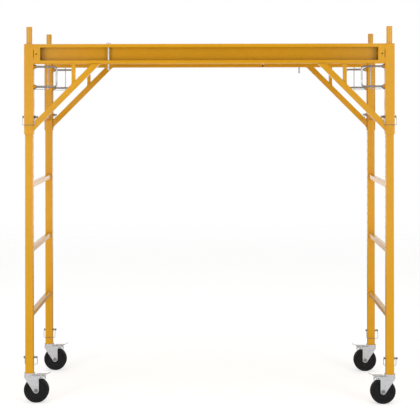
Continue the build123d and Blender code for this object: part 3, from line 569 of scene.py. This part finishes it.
def rail_end_welds(beads, row, side_x, side_y):
    """Beads where a rail's end meets its sleeve: up the web, along the bottom flange and at both lips."""
    low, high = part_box(f"{row}_side_rail")
    web_y = side_y * min(abs(low.y), abs(high.y))
    lip_y = side_y * max(abs(low.y), abs(high.y))
    x = side_x * high.x
    seam = [Vector((x, web_y, high.z - RAIL_CORNER)), Vector((x, web_y, low.z))]
    beads.run(seam, closed=False, radius=THIN_BEAD)
    flange = [Vector((x, y, low.z)) for y in (web_y + side_y * SEAM_INSET, lip_y - side_y * SEAM_INSET)]
    beads.run(flange, closed=False)
    lip_x = side_x * (high.x - LIP_SEAM_SIDE)
    bead_y = lip_y - side_y * LIP_SEAM_BACK
    lower_lip = (low.z + SEAM_INSET, SEAM_LENGTH + low.z)
    upper_lip = (high.z - SEAM_LENGTH, high.z - SEAM_INSET)
    for heights in (lower_lip, upper_lip):
        lip_seam = [Vector((lip_x, bead_y, z)) for z in heights]
        beads.run(lip_seam, closed=False, radius=LIP_BEAD)


def strut_welds(beads):
    low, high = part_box("brace_struts")
    brace_low, brace_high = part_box("front_braces")
    slant = (brace_high.y - brace_low.y) / math.sqrt(2)
    upper_sum = brace_high.x + brace_low.z + 2 * slant
    brace_y = abs(brace_low.y + brace_high.y) / 2
    size = 2 * (high.y - brace_y)
    x = high.x - size / 2
    for side_x, side_y in CORNERS.values():
        head = Vector((side_x * x, side_y * brace_y, high.z))
        beads.run(rounded_loop(head, X, Y, size / 2, size / 2, STRUT_CORNER), radius=THIN_BEAD)
        foot = Vector((side_x * x, side_y * brace_y, upper_sum - x))
        along = Vector((side_x, 0, -1))
        beads.run(rounded_loop(foot, along, Y, size / 2, size / 2, STRUT_CORNER), radius=THIN_BEAD)


def lock_guide_welds(beads):
    low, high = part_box("lock_guide_straps")
    bush_low, bush_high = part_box("lock_guide_bushes")
    leg_low, leg_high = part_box("front_right_leg")
    leg_y = abs(leg_low.y + leg_high.y) / 2
    half_width = high.y - leg_y
    radius = bush_high.y - leg_y
    spring_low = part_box("front_right_lock_springs")[0]
    strap_x = spring_low.x - SPRING_SEAT
    for side_x, side_y in CORNERS.values():
        y = side_y * leg_y
        for z in (bush_low.z + radius, bush_high.z - radius):
            beads.run(circle_loop(Vector((side_x * high.x, y, z)), Y, Z, radius), radius=BUSH_BEAD)
        head = Vector((side_x * strap_x, y, high.z))
        beads.run(rounded_loop(head, X, Y, STRAP_HALF, half_width, STRAP_CORNER), radius=STRAP_BEAD)
        foot = Vector((side_x * high.x, y, low.z + STRAP_HALF))
        beads.run(rounded_loop(foot, Z, Y, STRAP_HALF, half_width, STRAP_CORNER), radius=STRAP_BEAD)


def coil_travel(turns, length):
    """How far along its axis a coil with closed ends has run after so many turns."""
    free_turns = COIL_TURNS - 2 * CLOSED_TURNS
    free = min(1.0, max(0.0, (turns - CLOSED_TURNS) / free_turns))
    closed = turns - free * free_turns
    free_length = length - 2 * COIL_WIRE - 2 * CLOSED_TURNS * 2 * COIL_WIRE
    return COIL_WIRE + closed * 2 * COIL_WIRE + free * free_length


def coil_points(start, side_x, length, rings):
    """Rings of points round the wire of one coil, which runs from start along X towards side_x."""
    points = []
    for ring in range(rings):
        turns = ring / COIL_STEPS
        angle = 2 * math.pi * turns
        out = Vector((0, math.cos(angle), math.sin(angle)))
        centre = start + X * side_x * coil_travel(turns, length) + out * COIL_RADIUS
        for side in range(COIL_SIDES):
            around = 2 * math.pi * side / COIL_SIDES
            points.append(centre + (out * math.cos(around) + X * math.sin(around)) * COIL_WIRE)
    return points


def lock_springs(look):
    """Coil springs with closed ends in place of the plain CAD coils, each with a mesh of its own."""
    rings = COIL_TURNS * COIL_STEPS + 1
    reach = COIL_RADIUS + COIL_WIRE
    for corner, (side_x, _) in CORNERS.items():
        node = f"{corner}_lock_springs"
        low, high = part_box(node)
        y = (low.y + high.y) / 2
        start_x = side_x * min(abs(low.x), abs(high.x))
        points = []
        faces = []
        for z in (low.z + reach, high.z - reach):
            faces += tube_faces(len(points), rings, COIL_SIDES, False)
            points += coil_points(Vector((start_x, y, z)), side_x, high.x - low.x, rings)
        coil = piece(f"{corner}_lock_coils", points, faces, look, "platform")
        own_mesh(coil)
        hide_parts(node)


# ---------------------------------------------------------------- studio
def floor():
    points = [(0.0, 0.0, 0.0)]
    steps = 96
    for k in range(steps):
        angle = 2 * math.pi * k / steps
        points.append((FLOOR_RADIUS * math.cos(angle), FLOOR_RADIUS * math.sin(angle), 0.0))
    faces = [(0, k + 1, (k + 1) % steps + 1) for k in range(steps)]
    mesh = bpy.data.meshes.new("floor")
    mesh.from_pydata(points, [], faces)
    mesh.materials.append(studio_floor())
    made = bpy.data.objects.new("floor", mesh)
    bpy.context.scene.collection.objects.link(made)


def surround():
    """White to the camera and even to matt surfaces. Glossy surfaces mirror a room: a bright belt at eye
    height with a dark gap behind the camera, dim walls above it, a lit ceiling and a darker ground."""
    world = bpy.data.worlds.new("studio")
    bpy.context.scene.world = world
    world.use_nodes = True
    t = Tree(world.node_tree)
    direction = t.add("ShaderNodeTexCoord").outputs["Generated"]
    x, y, z = t.split(direction)
    sideways = t.math("ABSOLUTE", x)
    front = t.math("MULTIPLY", y, -1.0)
    gap = t.math("MULTIPLY", t.span(sideways, 0.145, 0.095), t.span(front, 0.2, 0.5))
    wall = t.math("MULTIPLY", t.span(z, 0.10, 0.30), t.span(z, 0.95, 0.80))
    ground = t.span(z, -0.05, -0.45)
    level = t.math("SUBTRACT", 1.0, t.math("MULTIPLY", gap, GAP_DARK))
    for shade, dark in ((wall, WALL_DARK), (ground, GROUND_DARK)):
        left = t.math("SUBTRACT", 1.0, t.math("MULTIPLY", shade, dark))
        level = t.math("MULTIPLY", level, left)
    room = t.add("ShaderNodeBackground", {"Strength": t.math("MULTIPLY", level, ROOM_LEVEL)})
    even = t.add("ShaderNodeBackground", {"Color": SOFT_WHITE, "Strength": SOFT_LEVEL})
    seen = t.add("ShaderNodeBackground", {"Color": WHITE, "Strength": 1.0})
    rays = t.add("ShaderNodeLightPath").outputs
    both = t.add("ShaderNodeMixShader", {0: rays["Is Diffuse Ray"], 1: room.outputs[0], 2: even.outputs[0]})
    both = t.add("ShaderNodeMixShader", {0: rays["Is Camera Ray"], 1: both.outputs[0], 2: seen.outputs[0]})
    t.add("ShaderNodeOutputWorld", {"Surface": both.outputs[0]})
    world.cycles.sampling_method = "NONE"


def soft_light(name, place, aim, width, height, power):
    data = bpy.data.lights.new(name, "AREA")
    data.shape = "RECTANGLE"
    data.size = width
    data.size_y = height
    data.energy = power
    made = bpy.data.objects.new(name, data)
    bpy.context.scene.collection.objects.link(made)
    made.location = place
    made.rotation_euler = (Vector(aim) - Vector(place)).to_track_quat("-Z", "Y").to_euler()


def lights():
    soft_light("overhead_panel", (0.0, -0.6, 4.6), (0.0, 0.0, 0.0), 4.0, 3.0, OVERHEAD_POWER)
    for name, place in (("left_panel", (-3.4, -4.4, 1.5)), ("right_panel", (3.6, -4.2, 1.6))):
        soft_light(name, place, PANEL_AIM, PANEL_WIDTH, PANEL_HEIGHT, PANEL_POWER)


def shift_lens(driver, holder, shift):
    """Drives a lens shift that applies only while the camera stands in its place, so that a view from
    anywhere else stays centred."""
    driver.type = "SCRIPTED"
    tests = []
    for name, value in zip("xyz", CAMERA_PLACE):
        variable = driver.variables.new()
        variable.name = name
        variable.type = "TRANSFORMS"
        variable.targets[0].id = holder
        variable.targets[0].transform_type = f"LOC_{name.upper()}"
        tests.append(f"abs({name} - {value:.5f}) < 0.01".replace("- -", "+ "))
    driver.expression = f"{shift} if {' and '.join(tests)} else 0.0"


def camera():
    """Camera that looks level, with its lens shifted to frame the object."""
    data = bpy.data.cameras.new("camera")
    data.sensor_fit = "HORIZONTAL"
    data.sensor_width = CAMERA_SENSOR
    data.lens = CAMERA_LENS
    data.clip_end = 100.0
    made = bpy.data.objects.new("camera", data)
    bpy.context.scene.collection.objects.link(made)
    made.location = CAMERA_PLACE
    made.rotation_euler = (math.pi / 2, CAMERA_ROLL, CAMERA_YAW)
    for name, shift in (("shift_x", CAMERA_SHIFT_SIDE), ("shift_y", CAMERA_SHIFT_UP)):
        shift_lens(data.driver_add(name).driver, made, shift)
    bpy.context.scene.camera = made


def colour_management():
    scene = bpy.context.scene
    scene.view_settings.view_transform = "Standard"
    scene.view_settings.look = "None"
    scene.view_settings.exposure = 0.0


finish = give_materials()
end_frame_welds(finish["paint"])
platform_welds(finish["paint"])
lock_springs(spring_wire("coil_wire", COIL_LIGHT, COIL_DARK))
floor()
surround()
lights()
camera()
colour_management()
